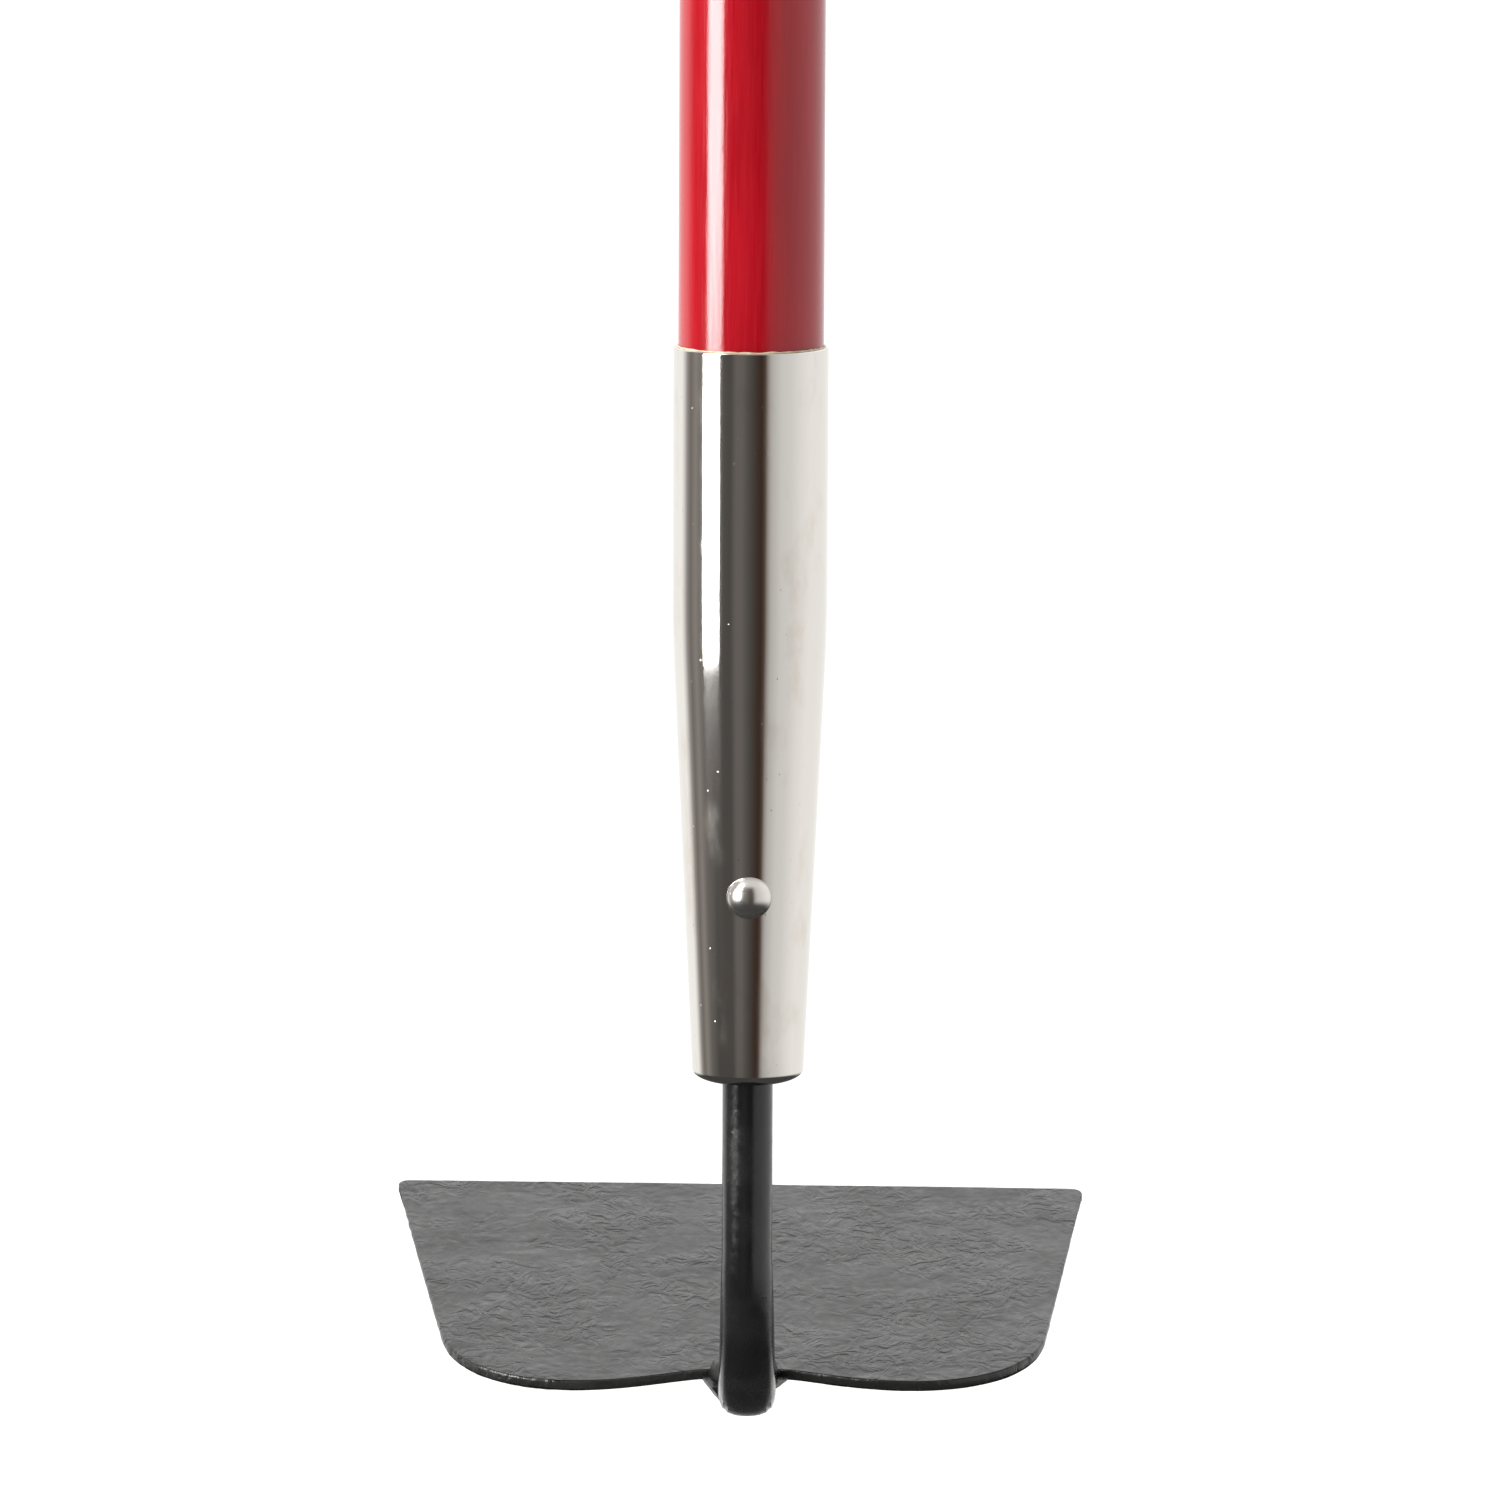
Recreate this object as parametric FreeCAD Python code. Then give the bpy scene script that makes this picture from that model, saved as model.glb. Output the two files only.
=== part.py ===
import FreeCAD, Part
import math
import os

"""Grub hoe with a forged solid-shank head and a ferruled fibreglass handle.

Millimetres.  +Z runs along the handle from the head to the butt, +Y is the way the
blade reaches out, and +X is across the blade.  The origin is on the handle's axis,
at the middle of the cushion grip.
"""

Vector = FreeCAD.Vector

# ---------------------------------------------------------------- driving dimensions

# Handle: a pultruded fibreglass tube
handle_length = 1371.6
handle_diameter = 31.75
handle_wall = 3.175

# Ferrule: a drawn sleeve that is straight over the handle and tapers to the neck
ferrule_length = 162.2
ferrule_wall = 0.95
socket_depth = 52.4
taper_half_angle = 2.73
taper_blend_radius = 394.0
nose_depth = 2.8
nose_clearance = 0.2
bond_thickness = 0.15
bond_recess = 0.5

# Rivet through the ferrule, the plug and the tang
rivet_height = 42.9
rivet_shank_diameter = 5.0
rivet_clearance = 0.1
rivet_head_diameter = 10.0
rivet_head_rise = 2.9

# Neck: a round bar, drawn to a tang above and bent round to the blade below
neck_diameter = 11.1
neck_drop = 40.1
neck_bend_radius = 36.0
neck_run_out = 1.0
neck_end_width = 12.8
neck_end_thickness = 12.4
neck_bend_sections = 9
tang_length = 98.0
tang_shank_length = 52.0
tang_tip_diameter = 7.5
tang_tip_chamfer = 1.2

# Wooden plug that fills the taper and the lower end of the tube
plug_clearance = 0.1
plug_spigot_length = 62.0
plug_lead_in = 2.0

# Blade: forged plate, thinned towards the cutting edge
blade_width = 161.9
blade_depth = 114.0
blade_tilt = 11.2
blade_root_thickness = 3.2
blade_edge_thickness = 1.6
blade_side_angle = 7.6
blade_lobe_drop = 6.9
root_slope_angle = 18.3
root_curve_pull = 0.4
blade_shoulder_radius = 30.5
blade_corner_radius = 2.0
edge_bevel_length = 5.0
edge_land = 0.5

# Weld beads that join the neck's end to the blade's notch
notch_side_throat = 3.8
weld_reach = 7.5
weld_upper_throat = 1.6
weld_upper_height = 7.0
weld_lower_throat = 3.8
weld_lower_height = 5.6

# Cushion grip and end cap at the butt
grip_length = 250.0
grip_wall = 2.625
grip_edge_radius = 1.5
cap_flange_thickness = 4.0
cap_flange_inset = 0.5
cap_edge_radius = 1.5
cap_plug_length = 24.0
cap_plug_wall = 2.4
cap_clearance = 0.1

# ---------------------------------------------------------------- derived dimensions

handle_radius = handle_diameter / 2
bore_radius = handle_radius - handle_wall
grip_radius = handle_radius + grip_wall
ferrule_inner_radius = handle_radius + bond_thickness
ferrule_radius = ferrule_inner_radius + ferrule_wall
neck_radius = neck_diameter / 2
nose_hole_radius = neck_radius + nose_clearance
rivet_hole_radius = rivet_shank_diameter / 2 + rivet_clearance
notch_half_width = neck_end_width / 2 + notch_side_throat

butt_z = grip_length / 2
handle_bottom_z = butt_z - handle_length
mouth_z = handle_bottom_z + socket_depth
ferrule_bottom_z = mouth_z - ferrule_length
nose_top_z = ferrule_bottom_z + nose_depth
rivet_z = ferrule_bottom_z + rivet_height
bend_top_z = ferrule_bottom_z - neck_drop
tang_top_z = ferrule_bottom_z + tang_length
bend_angle = 90.0 + blade_tilt

X_AXIS = Vector(1, 0, 0)
Y_AXIS = Vector(0, 1, 0)
Z_AXIS = Vector(0, 0, 1)


# ---------------------------------------------------------------- helpers

def section_point(radius, z):
    """Point of a turned part's half section, which lies in the XZ plane."""
    return Vector(radius, 0, z)


def line(start, end):
    return Part.LineSegment(start, end).toShape()


def turned(edges):
    """Solid of revolution about the handle's axis from the edges of a half section."""
    face = Part.Face(Part.Wire(edges))
    return face.revolve(Vector(0, 0, 0), Z_AXIS, 360)


def turned_outline(points):
    """Solid of revolution from (radius, z) corners joined by straight lines."""
    corners = [section_point(radius, z) for radius, z in points]
    return turned([line(a, b) for a, b in zip(corners, corners[1:] + corners[:1])])


def rod_along_y(radius, half_length, z):
    return Part.makeCylinder(radius, 2 * half_length, Vector(0, -half_length, z), Y_AXIS)


def blade_frame(shape):
    """Moves a shape from blade coordinates to the assembly.

    In blade coordinates x is across the blade, y runs from the notch to the cutting
    edge, and z is square to the plate; the origin is the middle of the notch.
    """
    placed = shape.copy()
    placed.rotate(Vector(0, 0, 0), X_AXIS, blade_tilt)
    placed.translate(neck_end_point())
    return placed


def neck_end_point():
    """Where the neck's centreline meets the notch."""
    turn = math.radians(bend_angle)
    along = Vector(0, math.sin(turn), -math.cos(turn))
    bend_end = Vector(
        0,
        neck_bend_radius * (1 - math.cos(turn)),
        bend_top_z - neck_bend_radius * math.sin(turn),
    )
    return bend_end + along * neck_run_out


# ---------------------------------------------------------------- ferrule

def taper_angle():
    return math.radians(taper_half_angle)


def taper_radius(z, inset=0.0):
    """Radius of the tapered wall at a height, inset squarely from the outside."""
    blend_end_radius, blend_end_z = taper_blend_end(inset)
    return blend_end_radius - (blend_end_z - z) * math.tan(taper_angle())


def taper_blend_end(inset):
    """Radius and height where the blend arc runs out into the straight taper."""
    arc_radius = taper_blend_radius - inset
    centre_radius = ferrule_radius - taper_blend_radius
    return (
        centre_radius + arc_radius * math.cos(taper_angle()),
        handle_bottom_z - arc_radius * math.sin(taper_angle()),
    )


def taper_edges(inset):
    """Blend arc and straight taper of the ferrule's wall, from the top down."""
    arc_radius = taper_blend_radius - inset
    centre_radius = ferrule_radius - taper_blend_radius
    half_turn = taper_angle() / 2
    top = section_point(ferrule_radius - inset, handle_bottom_z)
    middle = section_point(
        centre_radius + arc_radius * math.cos(half_turn),
        handle_bottom_z - arc_radius * math.sin(half_turn),
    )
    blend_end = section_point(*taper_blend_end(inset))
    bottom = section_point(taper_radius(nose_top_z, inset), nose_top_z)
    return [Part.Arc(top, middle, blend_end).toShape(), line(blend_end, bottom)]


def nose_edge(start_radius, depth):
    """Quarter ellipse that rolls the taper's end in to the neck hole."""
    start = section_point(start_radius, nose_top_z)
    corner = section_point(start_radius, nose_top_z - depth)
    end = section_point(nose_hole_radius, nose_top_z - depth)
    curve = Part.BSplineCurve()
    curve.buildFromPolesMultsKnots(
        [start, corner, end], [3, 3], [0.0, 1.0], False, 2, [1.0, math.sqrt(0.5), 1.0]
    )
    return curve.toShape()


def make_ferrule():
    outer_nose_radius = taper_radius(nose_top_z)
    inner_nose_radius = taper_radius(nose_top_z, ferrule_wall)
    lip = section_point(nose_hole_radius, ferrule_bottom_z)
    inner_lip = section_point(nose_hole_radius, ferrule_bottom_z + ferrule_wall)
    outside = [
        line(
            section_point(ferrule_radius, mouth_z),
            section_point(ferrule_radius, handle_bottom_z),
        ),
        *taper_edges(0.0),
        nose_edge(outer_nose_radius, nose_depth),
    ]
    inside = [
        nose_edge(inner_nose_radius, nose_depth - ferrule_wall),
        *reversed(taper_edges(ferrule_wall)),
        line(
            section_point(ferrule_inner_radius, handle_bottom_z),
            section_point(ferrule_inner_radius, mouth_z),
        ),
    ]
    rim = line(
        section_point(ferrule_inner_radius, mouth_z),
        section_point(ferrule_radius, mouth_z),
    )
    shell = turned([*outside, line(lip, inner_lip), *inside, rim])
    return shell.cut(rod_along_y(rivet_hole_radius, 2 * ferrule_radius, rivet_z))


def make_bond_line():
    """Adhesive sleeve between the tube and the ferrule's straight part."""
    top_z = mouth_z - bond_recess
    return turned_outline([
        (handle_radius, handle_bottom_z),
        (ferrule_inner_radius, handle_bottom_z),
        (ferrule_inner_radius, top_z),
        (handle_radius, top_z),
    ])


# ---------------------------------------------------------------- handle and butt

def make_handle_tube():
    return turned_outline([
        (bore_radius, handle_bottom_z),
        (handle_radius, handle_bottom_z),
        (handle_radius, butt_z),
        (bore_radius, butt_z),
    ])


def make_cushion_grip():
    sleeve = turned_outline([
        (handle_radius, butt_z - grip_length),
        (grip_radius, butt_z - grip_length),
        (grip_radius, butt_z),
        (handle_radius, butt_z),
    ])
    rims = [edge for edge in sleeve.Edges if is_ring(edge, grip_radius)]
    return sleeve.makeFillet(grip_edge_radius, rims)


def is_ring(edge, radius):
    """True for a full circle of the given radius about the handle's axis."""
    curve = edge.Curve
    return isinstance(curve, Part.Circle) and math.isclose(curve.Radius, radius, abs_tol=1e-4)


def make_end_cap():
    flange_radius = grip_radius - cap_flange_inset
    top_z = butt_z + cap_flange_thickness
    plug_radius = bore_radius - cap_clearance
    cup_radius = plug_radius - cap_plug_wall
    body = turned_outline([
        (0, butt_z),
        (cup_radius, butt_z),
        (cup_radius, butt_z - cap_plug_length),
        (plug_radius, butt_z - cap_plug_length),
        (plug_radius, butt_z),
        (flange_radius, butt_z),
        (flange_radius, top_z),
        (0, top_z),
    ])
    crown = [
        edge
        for edge in body.Edges
        if is_ring(edge, flange_radius) and edge.CenterOfMass.z > top_z - cap_edge_radius
    ]
    return body.makeFillet(cap_edge_radius, crown)


# ---------------------------------------------------------------- plug and rivet

def make_tang_plug():
    """Plug turned to the ferrule's taper, with a spigot up the tube's bore."""
    inset = ferrule_wall + plug_clearance
    shoulder_radius = ferrule_radius - inset
    spigot_radius = bore_radius - plug_clearance
    spigot_top_z = handle_bottom_z + plug_spigot_length
    bottom_radius = taper_radius(nose_top_z, inset)
    top_corners = [
        section_point(0, spigot_top_z),
        section_point(spigot_radius - plug_lead_in, spigot_top_z),
        section_point(spigot_radius, spigot_top_z - plug_lead_in),
        section_point(spigot_radius, handle_bottom_z),
        section_point(shoulder_radius, handle_bottom_z),
    ]
    bottom_corners = [
        section_point(bottom_radius, nose_top_z),
        section_point(0, nose_top_z),
        section_point(0, spigot_top_z),
    ]
    edges = [line(a, b) for a, b in zip(top_corners, top_corners[1:])]
    edges += taper_edges(inset)
    edges += [line(a, b) for a, b in zip(bottom_corners, bottom_corners[1:])]
    blank = turned(edges)
    return blank.cut(tang_envelope()).cut(
        rod_along_y(rivet_hole_radius, 2 * ferrule_radius, rivet_z)
    )


def make_rivet():
    """Shank with a domed head at each end, seated on the ferrule's taper."""
    wall_radius = taper_radius(rivet_z)
    head_radius = rivet_head_diameter / 2
    seat = math.sqrt(wall_radius ** 2 - head_radius ** 2)
    rise = wall_radius + rivet_head_rise - seat
    dome_radius = (head_radius ** 2 + rise ** 2) / (2 * rise)
    dome_centre = seat + rise - dome_radius
    inside_ferrule = turned([
        *taper_edges(0.0),
        line(
            section_point(taper_radius(nose_top_z), nose_top_z),
            section_point(0, nose_top_z),
        ),
        line(section_point(0, nose_top_z), section_point(0, handle_bottom_z)),
        line(section_point(0, handle_bottom_z), section_point(ferrule_radius, handle_bottom_z)),
    ])
    heads = [
        Part.makeSphere(dome_radius, Vector(0, side * dome_centre, rivet_z), Y_AXIS).cut(inside_ferrule)
        for side in (-1, 1)
    ]
    half_shank = wall_radius + rivet_head_rise / 2
    return rod_along_y(rivet_shank_diameter / 2, half_shank, rivet_z).fuse(heads)


# ---------------------------------------------------------------- neck

def tang_envelope():
    """Straight bar from the bend up to the tang's blunt tip, which the plug grips."""
    tip_radius = tang_tip_diameter / 2
    return turned_outline([
        (0, bend_top_z),
        (neck_radius, bend_top_z),
        (neck_radius, ferrule_bottom_z + tang_shank_length),
        (tip_radius, tang_top_z - tang_tip_chamfer),
        (tip_radius - tang_tip_chamfer, tang_top_z),
        (0, tang_top_z),
    ])


def neck_section(turn_degrees):
    """Closed curve of the bar's section at an angle round the bend."""
    share = turn_degrees / bend_angle
    half_width = neck_radius + (neck_end_width / 2 - neck_radius) * share
    half_thickness = neck_radius + (neck_end_thickness / 2 - neck_radius) * share
    squash = FreeCAD.Matrix()
    squash.scale(half_width, half_thickness, 1.0)
    section = Part.makeCircle(1.0).transformGeometry(squash)
    section.rotate(Vector(0, 0, 0), X_AXIS, turn_degrees)
    turn = math.radians(turn_degrees)
    section.translate(Vector(
        0,
        neck_bend_radius * (1 - math.cos(turn)),
        bend_top_z - neck_bend_radius * math.sin(turn),
    ))
    return Part.Wire([section.Edges[0]])


def make_neck():
    turns = [bend_angle * i / (neck_bend_sections - 1) for i in range(neck_bend_sections)]
    sections = [neck_section(turn) for turn in turns]
    bend = Part.makeLoft(sections, True, False)
    turn = math.radians(bend_angle)
    along = Vector(0, math.sin(turn), -math.cos(turn))
    run_out = Part.Face(sections[-1]).extrude(along * neck_run_out)
    bar = tang_envelope().fuse([bend, run_out]).removeSplitter()
    return bar.cut(rod_along_y(rivet_hole_radius, neck_diameter, rivet_z))


# ---------------------------------------------------------------- blade and welds

def arc_about(centre, radius, start, end):
    """Arc round a centre between two points on it, the short way."""
    middle = (start - centre) + (end - centre)
    middle = centre + middle.normalize() * radius
    return Part.Arc(start, middle, end).toShape()


def half_blade_face():
    """Right half of the blade's outline, in blade coordinates."""
    side = math.radians(blade_side_angle)
    corner = Vector(blade_width / 2, blade_depth, 0)
    down_side = Vector(-math.sin(side), -math.cos(side), 0)
    side_normal = Vector(math.cos(side), -math.sin(side), 0)

    shoulder_y = blade_shoulder_radius - blade_lobe_drop
    side_x = corner.x - (blade_depth - shoulder_y) * math.tan(side)
    shoulder = Vector(side_x - blade_shoulder_radius / math.cos(side), shoulder_y, 0)
    shoulder_end = shoulder + side_normal * blade_shoulder_radius

    notch_corner = Vector(notch_half_width, 0, 0)
    lobe = Vector(shoulder.x, -blade_lobe_drop, 0)
    pull = (lobe.x - notch_corner.x) * root_curve_pull
    root_curve = Part.BezierCurve()
    root_curve.setPoles([
        notch_corner,
        notch_corner + Vector(1, -math.tan(math.radians(root_slope_angle)), 0) * pull,
        lobe - X_AXIS * pull,
        lobe,
    ])

    trim = blade_corner_radius * math.tan((math.pi / 2 + side) / 2)
    round_start = corner + down_side * trim
    round_end = corner - X_AXIS * trim
    round_centre = round_start - side_normal * blade_corner_radius

    edges = [
        line(Vector(0, 0, 0), notch_corner),
        root_curve.toShape(),
        arc_about(shoulder, blade_shoulder_radius, lobe, shoulder_end),
        line(shoulder_end, round_start),
        arc_about(round_centre, blade_corner_radius, round_start, round_end),
        line(round_end, Vector(0, blade_depth, 0)),
        line(Vector(0, blade_depth, 0), Vector(0, 0, 0)),
    ]
    return Part.Face(Part.Wire(edges))


def blade_wedge():
    """Wedge that thins the plate to the cutting edge and grinds its underside."""
    root = blade_root_thickness / 2
    edge = blade_edge_thickness / 2
    bevel_y = blade_depth - edge_bevel_length
    bevel_share = bevel_y / blade_depth
    bevel_z = root + (edge - root) * bevel_share
    corners = [
        (-blade_depth, root),
        (0, root),
        (blade_depth, edge),
        (blade_depth, edge - edge_land),
        (bevel_y, -bevel_z),
        (0, -root),
        (-blade_depth, -root),
    ]
    points = [Vector(-blade_width, y, z) for y, z in corners]
    face = Part.Face(Part.makePolygon(points + points[:1]))
    return face.extrude(X_AXIS * 2 * blade_width)


def flat_blade():
    """Blade in blade coordinates."""
    half = half_blade_face()
    half.translate(Z_AXIS * -blade_root_thickness)
    half = half.extrude(Z_AXIS * 2 * blade_root_thickness)
    other = half.mirror(Vector(0, 0, 0), X_AXIS)
    return half.fuse(other).removeSplitter().common(blade_wedge()).removeSplitter()


def make_blade():
    return blade_frame(flat_blade())


def make_weld(side, throat, height, blade, neck):
    """Bead on one face of the joint: side is +1 above the plate and -1 below it."""
    half_width = neck_end_width / 2 + throat
    lump = Part.makeSphere(1.0)
    stretch = FreeCAD.Matrix()
    stretch.scale(half_width, weld_reach, height)
    lump = lump.transformGeometry(stretch)
    span = 2 * (half_width + weld_reach)
    keep_z = 0 if side > 0 else -span
    keep = Part.makeBox(span, span, span, Vector(-span / 2, -span / 2, keep_z))
    return blade_frame(lump.common(keep)).cut(neck).cut(blade)


# ---------------------------------------------------------------- assembly

def build():
    blade = make_blade()
    neck = make_neck()
    return {
        "blade": blade,
        "neck": neck,
        "weld_upper": make_weld(1, weld_upper_throat, weld_upper_height, blade, neck),
        "weld_lower": make_weld(-1, weld_lower_throat, weld_lower_height, blade, neck),
        "ferrule": make_ferrule(),
        "rivet": make_rivet(),
        "tang_plug": make_tang_plug(),
        "bond_line": make_bond_line(),
        "handle_tube": make_handle_tube(),
        "cushion_grip": make_cushion_grip(),
        "end_cap": make_end_cap(),
    }


os.makedirs("parts", exist_ok=True)
for node, shape in build().items():
    shape.exportStep("parts/" + node + ".step")
    box = shape.BoundBox
    print(
        f"{node:14s} valid={shape.isValid()} solids={len(shape.Solids)}"
        f" volume={shape.Volume:.1f}"
        f" x=({box.XMin:.2f}, {box.XMax:.2f}) y=({box.YMin:.2f}, {box.YMax:.2f})"
        f" z=({box.ZMin:.2f}, {box.ZMax:.2f})"
    )
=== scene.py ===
"""Looks of a grub hoe: forged blade, bent neck bar, plated ferrule, fibreglass handle and cushion grip.

Metres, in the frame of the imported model: +Z runs up the handle, +Y is the way the blade reaches.
"""

import logging
import math
from contextlib import contextmanager
from dataclasses import dataclass
from enum import Enum
from typing import Callable, Iterator, Optional, Sequence

import bpy
from mathutils import Matrix, Vector, noise


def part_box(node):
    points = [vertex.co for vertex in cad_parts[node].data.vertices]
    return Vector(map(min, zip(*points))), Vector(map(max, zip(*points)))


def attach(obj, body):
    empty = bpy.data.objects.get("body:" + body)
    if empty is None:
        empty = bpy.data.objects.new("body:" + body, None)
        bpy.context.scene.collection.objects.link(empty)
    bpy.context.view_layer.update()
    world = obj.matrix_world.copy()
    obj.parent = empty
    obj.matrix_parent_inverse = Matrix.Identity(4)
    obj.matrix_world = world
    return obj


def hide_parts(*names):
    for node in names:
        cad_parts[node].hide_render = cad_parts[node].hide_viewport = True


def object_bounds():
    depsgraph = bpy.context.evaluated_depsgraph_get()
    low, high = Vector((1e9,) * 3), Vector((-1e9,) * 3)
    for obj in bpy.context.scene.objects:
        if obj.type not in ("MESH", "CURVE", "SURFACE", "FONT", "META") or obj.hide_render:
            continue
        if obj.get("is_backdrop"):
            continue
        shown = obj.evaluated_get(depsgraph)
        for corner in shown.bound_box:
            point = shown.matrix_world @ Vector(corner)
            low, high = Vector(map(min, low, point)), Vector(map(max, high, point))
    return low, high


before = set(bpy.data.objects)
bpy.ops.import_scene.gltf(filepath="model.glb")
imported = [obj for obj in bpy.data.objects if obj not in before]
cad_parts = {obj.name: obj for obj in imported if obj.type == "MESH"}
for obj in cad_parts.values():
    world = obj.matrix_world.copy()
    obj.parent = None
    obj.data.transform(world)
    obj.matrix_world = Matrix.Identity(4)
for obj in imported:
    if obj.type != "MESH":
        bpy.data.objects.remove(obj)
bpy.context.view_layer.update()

log = logging.getLogger("grub_hoe")

MM = 0.001
BODY = "root"
SMOOTH_ANGLE = math.radians(32)
ORIGIN = Vector((0, 0, 0))
WHITE = (1.0, 1.0, 1.0)

Colour = tuple[float, float, float]
Scale = tuple[float, float, float]
Ring = tuple[float, float]
Piece = bpy.types.Object
Material = bpy.types.Material
Socket = bpy.types.NodeSocket


# ---------------------------------------------------------------- mesh work

def deselect_everything() -> None:
    """Leave object mode with nothing selected, so an operator acts only on what comes next."""
    if bpy.context.object and bpy.context.object.mode != "OBJECT":
        bpy.ops.object.mode_set(mode="OBJECT")
    for item in bpy.context.selected_objects:
        item.select_set(False)


@contextmanager
def editing(piece: Piece) -> Iterator[Piece]:
    """Hold one piece in edit mode.

    Args:
        piece: The mesh object to edit.

    Returns:
        An iterator that yields the piece once.
    """
    deselect_everything()
    piece.select_set(True)
    bpy.context.view_layer.objects.active = piece
    bpy.ops.object.mode_set(mode="EDIT")
    try:
        yield piece
    finally:
        bpy.ops.object.mode_set(mode="OBJECT")


def blank_piece(name: str) -> Piece:
    """Add an empty mesh at the origin.

    Args:
        name: The piece's name.

    Returns:
        The new object, unturned and unscaled.
    """
    deselect_everything()
    bpy.ops.object.add(type="MESH", location=(0, 0, 0))
    piece = bpy.context.object
    piece.name = name
    piece.data.name = name
    return piece


def pick(piece: Piece, wanted: Callable[[bpy.types.MeshVertex], bool]) -> None:
    """Select the vertices that a test accepts; the piece is in edit mode before and after.

    Args:
        piece: The object in edit mode.
        wanted: Test of a vertex.
    """
    bpy.ops.mesh.select_mode(type="VERT")
    bpy.ops.mesh.select_all(action="DESELECT")
    bpy.ops.object.mode_set(mode="OBJECT")
    for vertex in piece.data.vertices:
        vertex.select = wanted(vertex)
    bpy.ops.object.mode_set(mode="EDIT")


def pick_numbers(piece: Piece, numbers: Sequence[int]) -> None:
    """Select vertices by their numbers."""
    chosen = set(numbers)
    pick(piece, lambda vertex: vertex.index in chosen)


def pick_sharp_edges(piece: Piece, angle: float, wanted: Callable[[Vector], bool]) -> None:
    """Select the sharp edges whose middle a test accepts; the piece is in edit mode before and after.

    Args:
        piece: The object in edit mode.
        angle: Edges sharper than this are candidates.
        wanted: Test of an edge's middle.
    """
    bpy.ops.mesh.select_mode(type="EDGE")
    bpy.ops.mesh.select_all(action="DESELECT")
    bpy.ops.mesh.edges_select_sharp(sharpness=angle)
    bpy.ops.object.mode_set(mode="OBJECT")
    points = piece.data.vertices
    for edge in piece.data.edges:
        if edge.select:
            first, second = edge.vertices
            edge.select = wanted((points[first].co + points[second].co) / 2)
    bpy.ops.object.mode_set(mode="EDIT")


def roughen(
    piece: Piece,
    grain: float,
    depth: float,
    stretch: Scale = (1.0, 1.0, 1.0),
    hard: bool = False,
    octaves: int = 1,
    shift: float = 0.0,
    group: str = "",
) -> None:
    """Raise and sink a surface by a cloud pattern.

    Args:
        piece: The mesh to roughen.
        grain: Size of the pattern's lumps.
        depth: Whole height of the relief.
        stretch: How much longer the lumps are along each axis.
        hard: Creased lumps instead of soft ones.
        octaves: Finer copies of the pattern on top.
        shift: Where the pattern starts, so two layers differ.
        group: Vertex group that says how much shows where.
    """
    pattern = bpy.data.textures.new("relief", "CLOUDS")
    pattern.noise_scale = grain
    pattern.noise_depth = octaves
    pattern.noise_type = "HARD_NOISE" if hard else "SOFT_NOISE"
    deselect_everything()
    bpy.ops.object.empty_add(location=(shift, 0, 0))
    guide = bpy.context.object
    guide.scale = stretch
    bpy.context.view_layer.update()
    apply_modifier(
        piece, "DISPLACE", texture=pattern, texture_coords="OBJECT", texture_coords_object=guide,
        strength=depth, mid_level=0.5, vertex_group=group,
    )
    bpy.data.objects.remove(guide)
    bpy.data.textures.remove(pattern)


def turn(axis: str, angle: float, centre: Vector = ORIGIN) -> None:
    """Turn the selection by the right-hand rule (the operator itself turns the other way)."""
    bpy.ops.transform.rotate(value=-angle, orient_axis=axis, center_override=centre)


def set_in_place(piece: Piece, angle: float, shift: Sequence[float]) -> None:
    """Turn a whole mesh about the X axis, then move it.

    Args:
        piece: The piece, in object mode.
        angle: How far it turns.
        shift: How far it moves.
    """
    with editing(piece):
        bpy.ops.mesh.select_all(action="SELECT")
        turn("X", angle)
        bpy.ops.transform.translate(value=shift)


def apply_modifier(piece: Piece, kind: str, **settings: object) -> None:
    """Add a modifier, set it and apply it.

    Args:
        piece: The object to change.
        kind: The modifier's type, such as SOLIDIFY.
        **settings: Its properties.
    """
    deselect_everything()
    piece.select_set(True)
    bpy.context.view_layer.objects.active = piece
    modifier = piece.modifiers.new(kind.lower(), kind)
    for key, value in settings.items():
        setattr(modifier, key, value)
    bpy.ops.object.modifier_apply(modifier=modifier.name)


def close_and_smooth(piece: Piece, angle: float = SMOOTH_ANGLE) -> None:
    """Merge doubles, point the faces outwards and shade smooth except at sharp edges.

    Args:
        piece: The finished mesh.
        angle: Edges sharper than this stay sharp.
    """
    with editing(piece):
        bpy.ops.mesh.select_all(action="SELECT")
        bpy.ops.mesh.remove_doubles(threshold=1e-6)
        bpy.ops.mesh.normals_make_consistent(inside=False)
    bpy.ops.object.shade_smooth_by_angle(angle=angle)


def extrude_rings(rings: Sequence[Ring]) -> None:
    """Carry the selected ring through further (radius, z) stations about the Z axis.

    Args:
        rings: All stations, the first of them the ring that is already there.
    """
    for (radius, z), (next_radius, next_z) in zip(rings, rings[1:]):
        bpy.ops.mesh.extrude_region_move(TRANSFORM_OT_translate={"value": (0, 0, next_z - z)})
        if not math.isclose(radius, next_radius):
            scale = next_radius / radius
            bpy.ops.transform.resize(value=(scale, scale, 1), center_override=(0, 0, next_z))


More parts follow.
